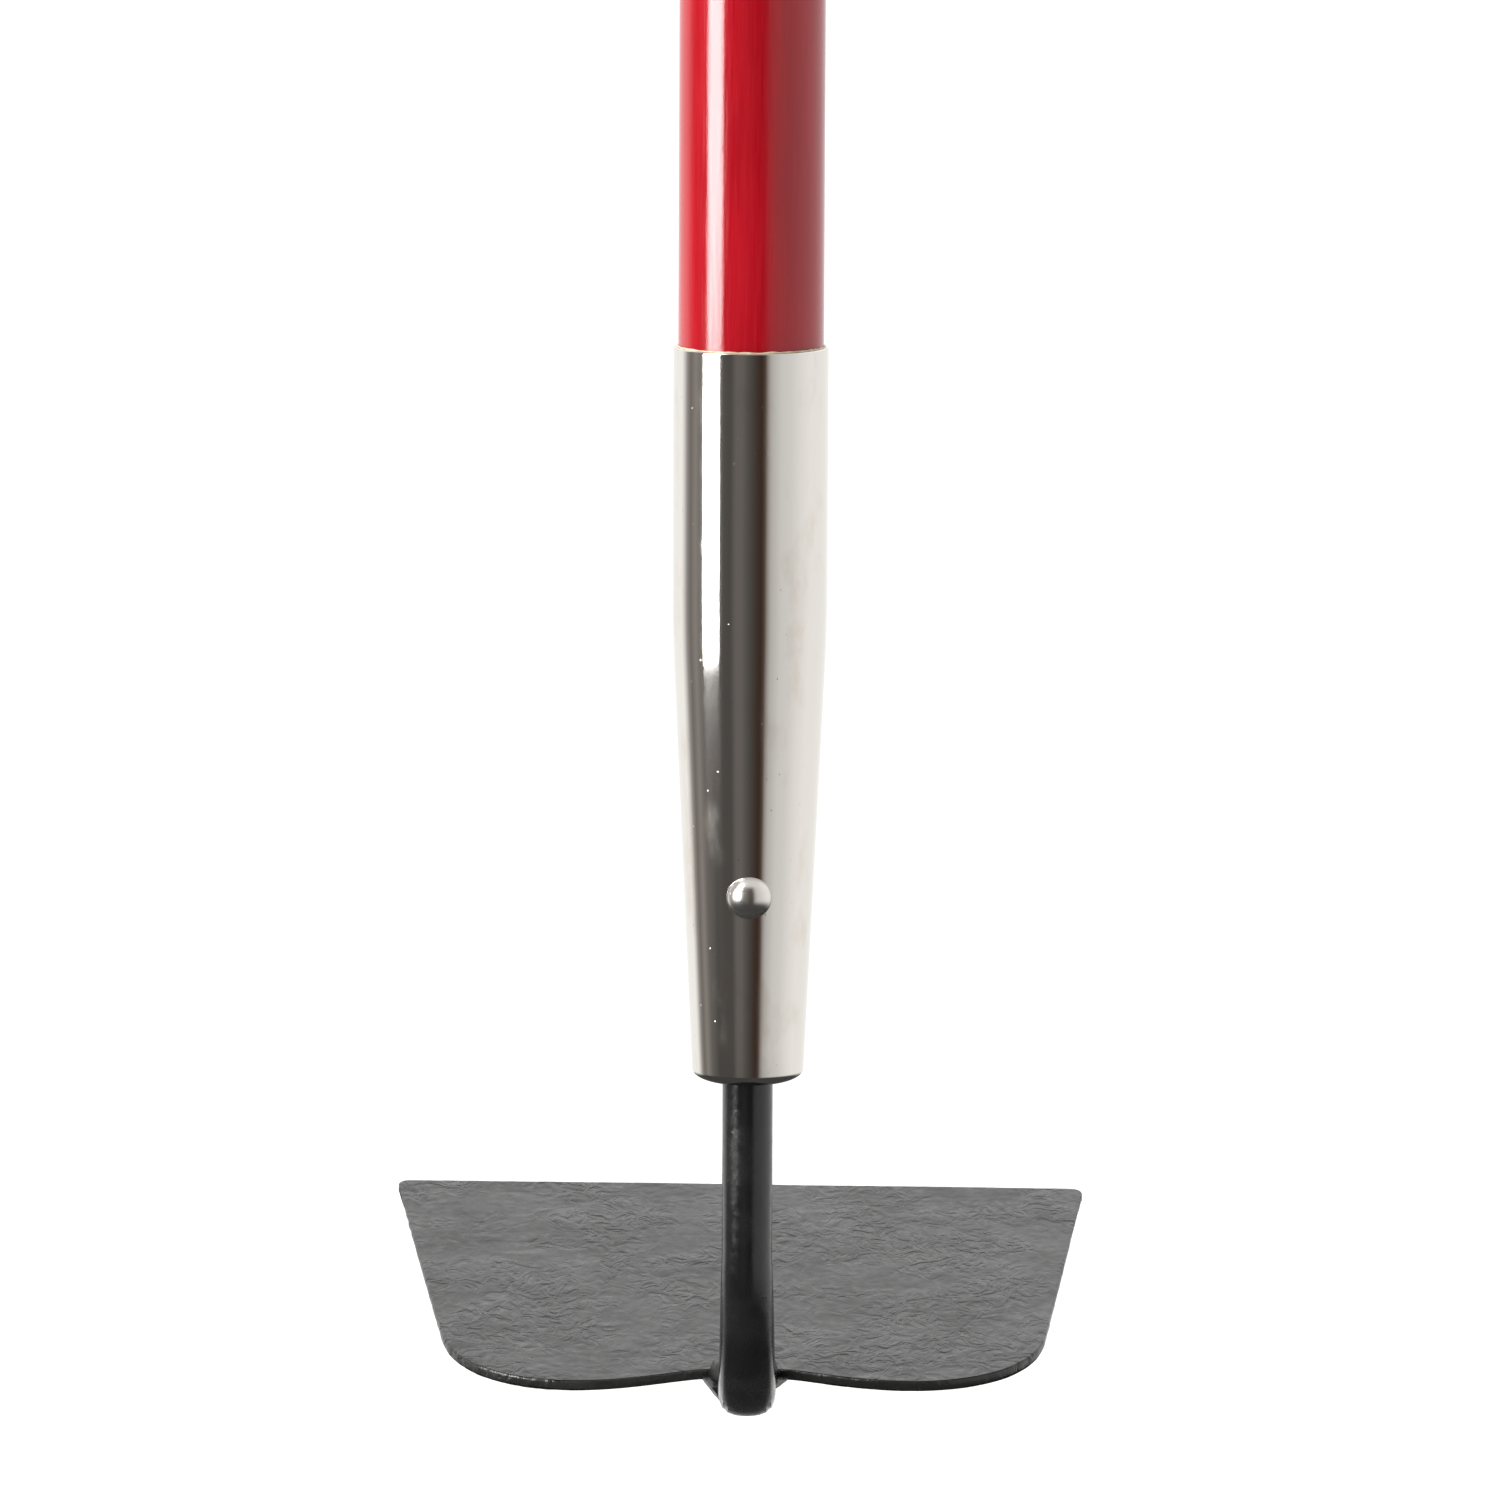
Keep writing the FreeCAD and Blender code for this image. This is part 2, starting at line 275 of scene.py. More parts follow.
def turn_stack(name: str, rings: Sequence[Ring], segments: int, capped: bool = False) -> Piece:
    """Make a turned piece from (radius, z) stations.

    Args:
        name: The piece's name.
        rings: Stations round a closed section or, when capped, from end to end, none of radius nought.
        segments: Facets round the axis.
        capped: Whether the two ends close on the axis.

    Returns:
        The closed, smooth-shaded piece.
    """
    piece = blank_piece(name)
    radius, z = rings[0]
    with editing(piece):
        bpy.ops.mesh.primitive_circle_add(
            vertices=segments, radius=radius, fill_type="NGON" if capped else "NOTHING", location=(0, 0, z)
        )
        if capped:
            bpy.ops.mesh.poke()
            pick(piece, lambda vertex: math.hypot(vertex.co.x, vertex.co.y) > radius / 2)
            bpy.ops.mesh.extrude_edges_move(TRANSFORM_OT_translate={"value": (0, 0, 0)})
            extrude_rings(rings)
            bpy.ops.mesh.extrude_edges_move(TRANSFORM_OT_translate={"value": (0, 0, 0)})
            bpy.ops.mesh.merge(type="CENTER")
        else:
            extrude_rings([*rings, rings[0]])
    close_and_smooth(piece)
    return piece


def arc_stations(centre: Ring, reach: Ring, start: float, end: float, steps: int) -> list[Ring]:
    """Stations on an ellipse in the (radius, z) section, between two angles in degrees from outward."""
    angles = [math.radians(start + (end - start) * i / steps) for i in range(steps + 1)]
    return [(centre[0] + reach[0] * math.cos(a), centre[1] + reach[1] * math.sin(a)) for a in angles]


def finish_piece(piece: Piece, material: Material, slot: str, *nodes: str) -> None:
    """Dress a piece, fix it to the body and let it stand for its CAD nodes.

    Args:
        piece: The finished mesh.
        material: Its material.
        slot: The record's material slot; not used.
        *nodes: CAD nodes that it replaces.
    """
    piece.data.materials.clear()
    piece.data.materials.append(material)
    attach(piece, BODY)
    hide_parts(*nodes)
    log.info("%s: %d faces, stands for %s", piece.name, len(piece.data.polygons), ", ".join(nodes))


def dress_node(node: str, material: Material) -> None:
    """Give a CAD node that stays a finished material.

    Args:
        node: The node's name.
        material: The material for every slot.
    """
    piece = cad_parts[node]
    for material_slot in piece.material_slots:
        material_slot.material = material
    log.info("%s: CAD node kept, new finish", node)


# ---------------------------------------------------------------- node boards

class NodeBoard:
    """Builds one node tree with short calls."""

    def __init__(self, owner: "Material | bpy.types.World") -> None:
        """Start with the owner's node tree cleared.

        Args:
            owner: The material or world.
        """
        owner.use_nodes = True
        self.owner, self.tree = owner, owner.node_tree
        self.tree.nodes.clear()

    def add(self, kind: str, inputs: dict[object, object], **settings: object) -> bpy.types.Node:
        """Add a node, set its properties, and fill or link its inputs.

        Args:
            kind: The node's type, less the "ShaderNode" that every name starts with.
            inputs: Value or source of each input, by name or number; None leaves it alone.
            **settings: The node's properties.

        Returns:
            The node.
        """
        node = self.tree.nodes.new("ShaderNode" + kind)
        for key, value in settings.items():
            setattr(node, key, value)
        for key, value in inputs.items():
            socket = node.inputs[key]
            if isinstance(value, Socket):
                self.tree.links.new(value, socket)
            elif value is not None:
                socket.default_value = (*value, 1.0) if socket.type == "RGBA" else value
        return node

    def ramp(
        self, source: Socket, low: float, high: float, to_low: float = 0.0, to_high: float = 1.0
    ) -> Socket:
        """Map a value from low..high to to_low..to_high, smoothly and clamped."""
        return self.add("MapRange", {
            "Value": source, "From Min": low, "From Max": high, "To Min": to_low, "To Max": to_high,
        }, interpolation_type="SMOOTHSTEP").outputs["Result"]

    def math(self, operation: str, left: Socket, right: "Socket | float" = 0.0) -> Socket:
        """Combine two values."""
        return self.add("Math", {0: left, 1: right}, operation=operation).outputs[0]

    def blend(self, share: Socket, first: "Socket | Colour", second: Colour) -> Socket:
        """Mix two colours; share is how much of the second shows."""
        return self.add("Mix", {"Factor": share, 6: first, 7: second}, data_type="RGBA").outputs[2]


class FinishBoard(NodeBoard):
    """Builds a material round one Principled shader, with patterns in object space."""

    def __init__(self, name: str, **uniform: object) -> None:
        """Start a material.

        Args:
            name: The material's name.
            **uniform: Even values of the shader's inputs; underscores stand for spaces.
        """
        super().__init__(bpy.data.materials.new(name))
        self.shader = self.add("BsdfPrincipled", {k.replace("_", " "): v for k, v in uniform.items()})
        self.add("OutputMaterial", {"Surface": self.shader.outputs["BSDF"]})
        self.place = self.add("TexCoord", {}).outputs["Object"]

    def stretched(self, scale: Scale) -> Socket:
        """Object coordinates times a number of repeats per metre along each axis."""
        return self.add("Mapping", {"Vector": self.place, "Scale": scale}).outputs["Vector"]

    def noise(
        self, scale: Scale, detail: float = 3.0, roughness: float = 0.5, distortion: float = 0.0
    ) -> Socket:
        """Fractal noise, with a number of repeats per metre along each axis."""
        return self.add("TexNoise", {
            "Vector": self.stretched(scale), "Scale": 1.0, "Detail": detail, "Roughness": roughness,
            "Distortion": distortion,
        }).outputs["Fac"]

    def cells(self, scale: Scale) -> Socket:
        """Distance to the nearest of scattered points, with a number per metre along each axis."""
        return self.add("TexVoronoi", {"Vector": self.stretched(scale), "Scale": 1.0}).outputs["Distance"]

    def bump(
        self, height: Socket, depth: float, strength: float = 1.0, after: Optional[Socket] = None
    ) -> Socket:
        """Normal raised by a pattern whose 1 stands for depth metres, on top of an earlier normal."""
        return self.add("Bump", {
            "Strength": strength, "Distance": depth, "Height": height, "Normal": after,
        }).outputs["Normal"]

    def dress(self, colour: Socket, roughness: Socket, normal: Socket) -> Material:
        """Link the three patterns to the shader.

        Args:
            colour: Base colour.
            roughness: Roughness.
            normal: Bumped normal.

        Returns:
            The finished material.
        """
        for key, source in (("Base Color", colour), ("Roughness", roughness), ("Normal", normal)):
            self.tree.links.new(source, self.shader.inputs[key])
        return self.owner


# ---------------------------------------------------------------- finishes

@dataclass(frozen=True)
class FibreglassFinish:
    """Gloss red resin over lengthwise glass fibres."""

    resin: Colour = (0.265, 0.0007, 0.0062)
    deep_resin: Colour = (0.215, 0.0004, 0.0045)
    roughness: float = 0.15

    def build(self) -> Material:
        """Make the material."""
        board = FinishBoard("red_fibreglass", IOR=1.5, Specular_IOR_Level=0.5)
        fibres = board.noise((2600, 2600, 55), 4, 0.62)
        blotch = board.noise((90, 90, 22))
        lint = board.ramp(board.cells((420, 420, 130)), 0.0, 0.10, 1.0, 0.0)
        normal = board.bump(board.noise((1700, 1700, 900), 3, 0.7), 0.000019, 0.6)
        normal = board.bump(fibres, 0.000008, 0.5, normal)
        normal = board.bump(lint, 0.00001, 0.5, normal)
        tint = board.ramp(board.math("ADD", fibres, blotch), 0.75, 1.3)
        return board.dress(
            board.blend(tint, self.deep_resin, self.resin),
            board.ramp(fibres, 0.3, 0.72, self.roughness - 0.05, self.roughness + 0.06),
            board.bump(blotch, 0.00006, 0.3, normal),
        )


@dataclass(frozen=True)
class NickelFinish:
    """Bright nickel plate with faint draw lines, pits and a smudge or two."""

    name: str = "bright_nickel"
    plate: Colour = (0.66, 0.635, 0.60)
    worn_plate: Colour = (0.62, 0.58, 0.53)
    roughness: float = 0.075
    draw_lines: float = 0.25

    def build(self) -> Material:
        """Make the material."""
        board = FinishBoard(self.name, Metallic=1.0)
        lines = board.noise((2200, 2200, 40), 2)
        smudge = board.noise((120, 120, 60), 4, 0.6)
        pits = board.ramp(board.cells((380, 380, 260)), 0.0, 0.085, 1.0, 0.0)
        dulled = board.ramp(smudge, 0.5, 0.78, self.roughness, self.roughness + 0.07)
        normal = board.bump(lines, 0.000006, self.draw_lines)
        normal = board.bump(board.noise((70, 70, 26), 1), 0.00012, 0.25, normal)
        return board.dress(
            board.blend(board.ramp(smudge, 0.52, 0.72), self.plate, self.worn_plate),
            board.math("ADD", dulled, board.math("MULTIPLY", pits, 0.25)),
            board.bump(pits, 0.00006, 0.6, normal),
        )


@dataclass(frozen=True)
class EnamelFinish:
    """Black enamel over scaled, forged or rolled steel, creased where crease_depth isn't nought."""

    name: str
    roughness: float
    paint: Colour = (0.005, 0.005, 0.0053)
    thin_paint: Colour = (0.009, 0.009, 0.009)
    grain: float = 520.0
    grain_depth: float = 0.05 * MM
    speck_depth: float = 0.08 * MM
    crease_depth: float = 0.0

    def build(self) -> Material:
        """Make the material."""
        board = FinishBoard(self.name, IOR=1.5)
        grain = board.noise((self.grain, self.grain, self.grain), 5, 0.58)
        cloud = board.noise((70, 70, 70))
        specks = board.ramp(board.cells((330, 330, 330)), 0.0, 0.16, 1.0, 0.0)
        normal = board.bump(grain, self.grain_depth, 0.8)
        if self.crease_depth:
            folds = board.noise((175, 150, 150), 3, 0.5, 1.1)
            away = board.math("ABSOLUTE", board.math("SUBTRACT", folds, 0.5))
            patches = board.ramp(board.noise((48, 48, 48), 2), 0.36, 0.62, 0.1, 1.0)
            creases = board.math("MULTIPLY", board.ramp(away, 0.0, 0.2, 1.0, 0.0), patches)
            normal = board.bump(creases, self.crease_depth, 1.0, normal)
        low, high = self.roughness - 0.06, self.roughness + 0.1
        return board.dress(
            board.blend(board.ramp(cloud, 0.4, 0.65), self.paint, self.thin_paint),
            board.ramp(board.math("ADD", grain, cloud), 0.7, 1.3, low, high),
            board.bump(specks, self.speck_depth, 0.5, normal),
        )


@dataclass(frozen=True)
class RubberFinish:
    """Matt black moulded rubber with a pebbled skin and rubbed crests."""

    skin: Colour = (0.018, 0.018, 0.019)
    dusty: Colour = (0.042, 0.041, 0.040)
    roughness: float = 0.62

    def build(self) -> Material:
        """Make the material."""
        board = FinishBoard("grip_rubber")
        dust = board.noise((160, 160, 90), 5, 0.65)
        return board.dress(
            board.blend(board.ramp(dust, 0.45, 0.75), self.skin, self.dusty),
            board.ramp(dust, 0.3, 0.7, self.roughness - 0.08, self.roughness + 0.12),
            board.bump(board.cells((1500, 1500, 1500)), 0.12 * MM, 0.6),
        )


@dataclass(frozen=True)
class MouldedFinish:
    """Satin black moulded plastic with a faint spark-eroded grain."""

    colour: Colour = (0.022, 0.022, 0.023)
    rubbed: Colour = (0.04, 0.04, 0.041)
    roughness: float = 0.42

    def build(self) -> Material:
        """Make the material."""
        board = FinishBoard("cap_plastic")
        rub = board.noise((220, 220, 220), 4, 0.7)
        return board.dress(
            board.blend(board.ramp(rub, 0.5, 0.75), self.colour, self.rubbed),
            board.ramp(rub, 0.3, 0.7, self.roughness - 0.05, self.roughness + 0.12),
            board.bump(board.noise((2400, 2400, 2400), 2), 0.04 * MM, 0.5),
        )


@dataclass(frozen=True)
class HardwoodFinish:
    """Bare turned hardwood with grain along the plug."""

    light: Colour = (0.50, 0.33, 0.18)
    dark: Colour = (0.30, 0.17, 0.08)

    def build(self) -> Material:
        """Make the material."""
        board = FinishBoard("turned_hardwood")
        grain = board.noise((420, 420, 16), 5, 0.6, 0.4)
        pores = board.noise((2600, 2600, 120), 2)
        return board.dress(
            board.blend(board.ramp(grain, 0.35, 0.68), self.light, self.dark),
            board.ramp(pores, 0.35, 0.65, 0.55, 0.75),
            board.bump(pores, 0.1 * MM, 0.5),
        )


@dataclass(frozen=True)
class AdhesiveFinish:
    """Cured epoxy, amber and slightly cloudy."""

    clear: Colour = (0.46, 0.37, 0.22)
    cloudy: Colour = (0.60, 0.54, 0.40)

    def build(self) -> Material:
        """Make the material."""
        board = FinishBoard("cured_adhesive")
        cloud = board.noise((500, 500, 300), 4)
        return board.dress(
            board.blend(board.ramp(cloud, 0.4, 0.65), self.clear, self.cloudy),
            board.ramp(cloud, 0.3, 0.7, 0.28, 0.5),
            board.bump(cloud, 0.1 * MM, 0.4),
        )


# ---------------------------------------------------------------- sub-assemblies

class Placing(Enum):
    """Which face of the plate a weld bead lies on."""

    ABOVE = 1
    BELOW = -1


@dataclass
class Handle:
    """Fibreglass tube: a smooth outside, a bore, and eased ends."""

    segments: int = 96
    wall: float = 3.175 * MM
    eased_edge: float = 0.4 * MM
    edge_steps: int = 4

    def build(self, finish: FibreglassFinish) -> None:
        """Turn the tube and dress it.

        Args:
            finish: The resin's finish.
        """
        low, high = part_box("handle_tube")
        outside = (high.x - low.x) / 2
        bore = outside - self.wall
        edge, steps = self.eased_edge, self.edge_steps
        piece = turn_stack("fibreglass_tube", [
            (bore, low.z),
            (outside - edge, low.z),
            *arc_stations((outside - edge, low.z + edge), (edge, edge), -90, 0, steps)[1:],
            *arc_stations((outside - edge, high.z - edge), (edge, edge), 0, 90, steps),
            (bore, high.z),
        ], self.segments)
        finish_piece(piece, finish.build(), "fibreglass", "handle_tube")


@dataclass
class Ferrule:
    """Plated sleeve, its rivet and the adhesive at its mouth."""

    segments: int = 160
    wall: float = 0.95 * MM
    lip: float = 0.3 * MM
    socket_depth: float = 52.4 * MM
    blend_radius: float = 394 * MM
    half_angle: float = math.radians(2.73)
    nose_depth: float = 2.8 * MM
    nose_hole: float = 5.75 * MM
    blend_steps: int = 24
    taper_steps: int = 12
    nose_steps: int = 16
    rivet_height: float = 42.9 * MM
    rivet_head: float = 5.0 * MM
    rivet_shank: float = 2.5 * MM
    rivet_rise: float = 2.9 * MM
    rivet_sink: float = 0.4 * MM
    rivet_ease: float = 0.3 * MM
    rivet_segments: int = 64
    dome_steps: int = 24
    lip_steps: int = 6
    squeeze_out: float = 0.3 * MM
    adhesive_gap: float = 0.02 * MM
    adhesive_segments: int = 240
    bead_size: float = 2.2 * MM
    bead_relief: float = 1.6

    def __post_init__(self) -> None:
        """Read the sleeve's place from the frame."""
        low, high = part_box("ferrule")
        self.bottom, self.mouth = low.z, high.z
        self.radius = (high.x - low.x) / 2

    def taper_radius(self, z: float, inset: float = 0.0) -> float:
        """Radius of the tapered wall at a height, inset squarely from the outside.

        Args:
            z: Height in the frame.
            inset: How far inside the outer skin.

        Returns:
            The radius there.
        """
        arc = self.blend_radius - inset
        end_radius = self.radius - self.blend_radius + arc * math.cos(self.half_angle)
        end_z = self.mouth - self.socket_depth - arc * math.sin(self.half_angle)
        return end_radius - (end_z - z) * math.tan(self.half_angle)

    def wall_stations(self, inset: float) -> list[Ring]:
        """Stations from the shoulder of the taper down through the rolled-in nose.

        Args:
            inset: How far inside the outer skin.

        Returns:
            The stations, from the top down.
        """
        shoulder = self.mouth - self.socket_depth
        nose_top = self.bottom + self.nose_depth
        arc = self.blend_radius - inset
        blend = arc_stations(
            (self.radius - self.blend_radius, shoulder), (arc, arc),
            0, -math.degrees(self.half_angle), self.blend_steps,
        )
        start = blend[-1][1]
        spans = [start + (nose_top - start) * i / self.taper_steps for i in range(1, self.taper_steps)]
        taper = [(self.taper_radius(z, inset), z) for z in spans]
        reach = self.taper_radius(nose_top, inset) - self.nose_hole
        nose = arc_stations(
            (self.nose_hole, nose_top), (reach, self.nose_depth - inset), 0, -90, self.nose_steps
        )
        return [*blend, *taper, *nose]

    def build_sleeve(self, material: Material) -> None:
        """Turn the sleeve, outside then inside, and dress it.

        Args:
            material: Plating.
        """
        inner = self.radius - self.wall
        lip = self.lip
        rim_top = self.mouth - lip
        piece = turn_stack("ferrule_sleeve", [
            *reversed(arc_stations((self.radius - lip, rim_top), (lip, lip), 0, 90, self.lip_steps)),
            *self.wall_stations(0.0),
            *reversed(self.wall_stations(self.wall)),
            *arc_stations((inner + lip, rim_top), (lip, lip), 180, 90, self.lip_steps),
        ], self.segments)
        finish_piece(piece, material, "ferrule_plating", "ferrule")

    def build_rivet(self, material: Material) -> None:
        """Turn the two-headed rivet along Z, then lay it across the sleeve.

        Args:
            material: Plating.
        """
        z = self.bottom + self.rivet_height
        wall = self.taper_radius(z)
        seat = math.sqrt(wall ** 2 - self.rivet_head ** 2)
        rise = wall + self.rivet_rise - seat
        ball = (self.rivet_head ** 2 + rise ** 2) / (2 * rise)
        middle = seat + rise - ball
        rim = math.degrees(math.asin((seat - middle) / ball))
        sunk = seat - self.rivet_sink
        half = [
            *arc_stations((0.0, middle), (ball, ball), 89, rim, self.dome_steps),
            (self.rivet_head - self.rivet_ease, sunk),
            (self.rivet_shank, sunk),
        ]
        stations = [*half, *((r, -h) for r, h in reversed(half))]
        piece = turn_stack("ferrule_rivet", stations, self.rivet_segments, capped=True)
        set_in_place(piece, math.pi / 2, (0, 0, z))
        finish_piece(piece, material, "rivet_plating", "rivet")

    def build_adhesive(self, material: Material) -> None:
        """Turn the thin adhesive sleeve, with the uneven bead that has squeezed out at the mouth.

        Args:
            material: Adhesive.
        """
        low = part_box("bond_line")[0].z
        tube_low, tube_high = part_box("handle_tube")
        inside = (tube_high.x - tube_low.x) / 2 + self.adhesive_gap
        outside = self.radius - self.wall - self.adhesive_gap
        lift = self.squeeze_out
        body = turn_stack("adhesive_sleeve", [
            (inside, low), (outside, low), (outside, self.mouth - lift),
            (outside + lift / 2, self.mouth - lift / 4), (outside + lift / 2, self.mouth + lift / 4),
            (inside + lift / 4, self.mouth + lift), (inside, self.mouth + lift),
        ], self.adhesive_segments)
        with editing(body):
            pick(body, lambda vertex: vertex.co.z > self.mouth - lift / 2)
            bpy.ops.object.vertex_group_add()
            bpy.ops.object.vertex_group_assign()
        roughen(body, self.bead_size, lift * self.bead_relief, octaves=2, group=body.vertex_groups[0].name)
        bpy.ops.object.vertex_group_remove(all=True)
        finish_piece(body, material, "adhesive", "bond_line")

    def build(self, plating: NickelFinish, head: NickelFinish, adhesive: AdhesiveFinish) -> None:
        """Make the sleeve, the rivet and the adhesive."""
        self.build_sleeve(plating.build())
        self.build_rivet(head.build())
        self.build_adhesive(adhesive.build())


@dataclass
class Neck:
    """Bar that is a tang above, straight below the ferrule, then bent round to the blade."""

    segments: int = 56
    radius: float = 5.55 * MM
    drop: float = 40.1 * MM
    bend_radius: float = 36 * MM
    bend_angle: float = math.radians(101.2)
    run_out: float = 1.0 * MM
    end_half_width: float = 6.6 * MM
    end_half_thickness: float = 6.17 * MM
    tang_length: float = 98 * MM
    tang_shank: float = 52 * MM
    tang_tip: float = 3.75 * MM
    tip_chamfer: float = 1.2 * MM
    straight_steps: int = 34
    bend_steps: int = 48
    spread: float = 0.6
    lean: float = 0.6 * MM
    flat_from: float = 0.3
    flat_bands: tuple[tuple[float, float], ...] = ((0.6, 0.993), (0.75, 0.988), (0.88, 0.985))

    def __post_init__(self) -> None:
        """Work out the heights from the ferrule's nose."""
        self.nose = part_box("ferrule")[0].z
        self.bend_top = self.nose - self.drop

    @property
    def centre(self) -> Vector:
        """Centre that the bar bends about."""
        return Vector((0, self.bend_radius, self.bend_top))

    @property
    def end_point(self) -> Vector:
        """Where the bar's centreline meets the blade's notch."""
        spoke = Vector((0, -math.cos(self.bend_angle), -math.sin(self.bend_angle)))
        return self.centre + spoke * self.bend_radius + self.along * self.run_out

    @property
    def along(self) -> Vector:
        """Direction of the bar where it leaves the bend."""
        return Vector((0, math.sin(self.bend_angle), -math.cos(self.bend_angle)))

    def square_off(self, piece: Piece, width: float, depth: float, offset: float) -> None:
        """Press the last ring a little squarer, while it lies level.

        Args:
            piece: The bar in edit mode.
            width: The ring's half size across the tool.
            depth: The ring's half size across the bend.
            offset: How far the ring stands to the right.
        """
        bpy.ops.object.mode_set(mode="OBJECT")
        total = len(piece.data.vertices)
        ring = range(total - self.segments, total)
        spots = {number: piece.data.vertices[number].co.copy() for number in ring}
        bpy.ops.object.mode_set(mode="EDIT")
        for band, press in self.flat_bands:
            pick_numbers(piece, [n for n in ring if spots[n].y < -band * depth])
            bpy.ops.transform.resize(value=(1, press, 1), center_override=(0, -depth, self.bend_top))
            for side in (-1, 1):
                pick_numbers(piece, [n for n in ring if (spots[n].x - offset) * side > band * width])
                bpy.ops.transform.resize(
                    value=(press, 1, 1), center_override=(offset + side * width, 0, self.bend_top)
                )
        pick_numbers(piece, ring)

    def bend_ring(self, piece: Piece) -> None:
        """Carry the selected ring round the bend, widening it and pressing it squarer.

        Args:
            piece: The bar in edit mode, with its lowest ring selected.
        """
        step = self.bend_angle / self.bend_steps
        for i in range(1, self.bend_steps + 1):
            share, last = i / self.bend_steps, (i - 1) / self.bend_steps
            offset = self.lean * last
            width, old_width = (
                self.radius + (self.end_half_width - self.radius) * s ** self.spread for s in (share, last)
            )
            depth, old_depth = (
                self.radius + (self.end_half_thickness - self.radius) * s for s in (share, last)
            )
            bpy.ops.mesh.extrude_region_move(TRANSFORM_OT_translate={"value": (0, 0, 0)})
            turn("X", -(i - 1) * step, self.centre)
            bpy.ops.transform.resize(
                value=(width / old_width, depth / old_depth, 1), center_override=(offset, 0, self.bend_top)
            )
            if share > self.flat_from:
                self.square_off(piece, width, depth, offset)
            turn("X", i * step, self.centre)
            bpy.ops.transform.translate(value=(self.lean * (share - last), 0, 0))

    def build(self, finish: EnamelFinish) -> None:
        """Draw the bar from the tang's tip to the blade and dress it.

        Args:
            finish: Enamel.
        """
        top = self.nose + self.tang_length
        shank_top = self.nose + self.tang_shank
        shares = [i / self.straight_steps for i in range(self.straight_steps + 1)]
        rings = [
            (self.tang_tip - self.tip_chamfer, top),
            (self.tang_tip, top - self.tip_chamfer),
            *((self.radius, shank_top + (self.bend_top - shank_top) * share) for share in shares),
        ]
        piece = blank_piece("neck_bar")
        with editing(piece):
            bpy.ops.mesh.primitive_circle_add(
                vertices=self.segments, radius=rings[0][0], fill_type="NGON", location=(0, 0, top)
            )
            pick(piece, lambda vertex: True)
            bpy.ops.mesh.extrude_edges_move(TRANSFORM_OT_translate={"value": (0, 0, 0)})
            extrude_rings(rings)
            self.bend_ring(piece)
            bpy.ops.mesh.extrude_region_move(
                TRANSFORM_OT_translate={"value": tuple(self.along * self.run_out)}
            )
            bpy.ops.mesh.edge_face_add()
        close_and_smooth(piece)
        finish_piece(piece, finish.build(), "neck_enamel", "neck")


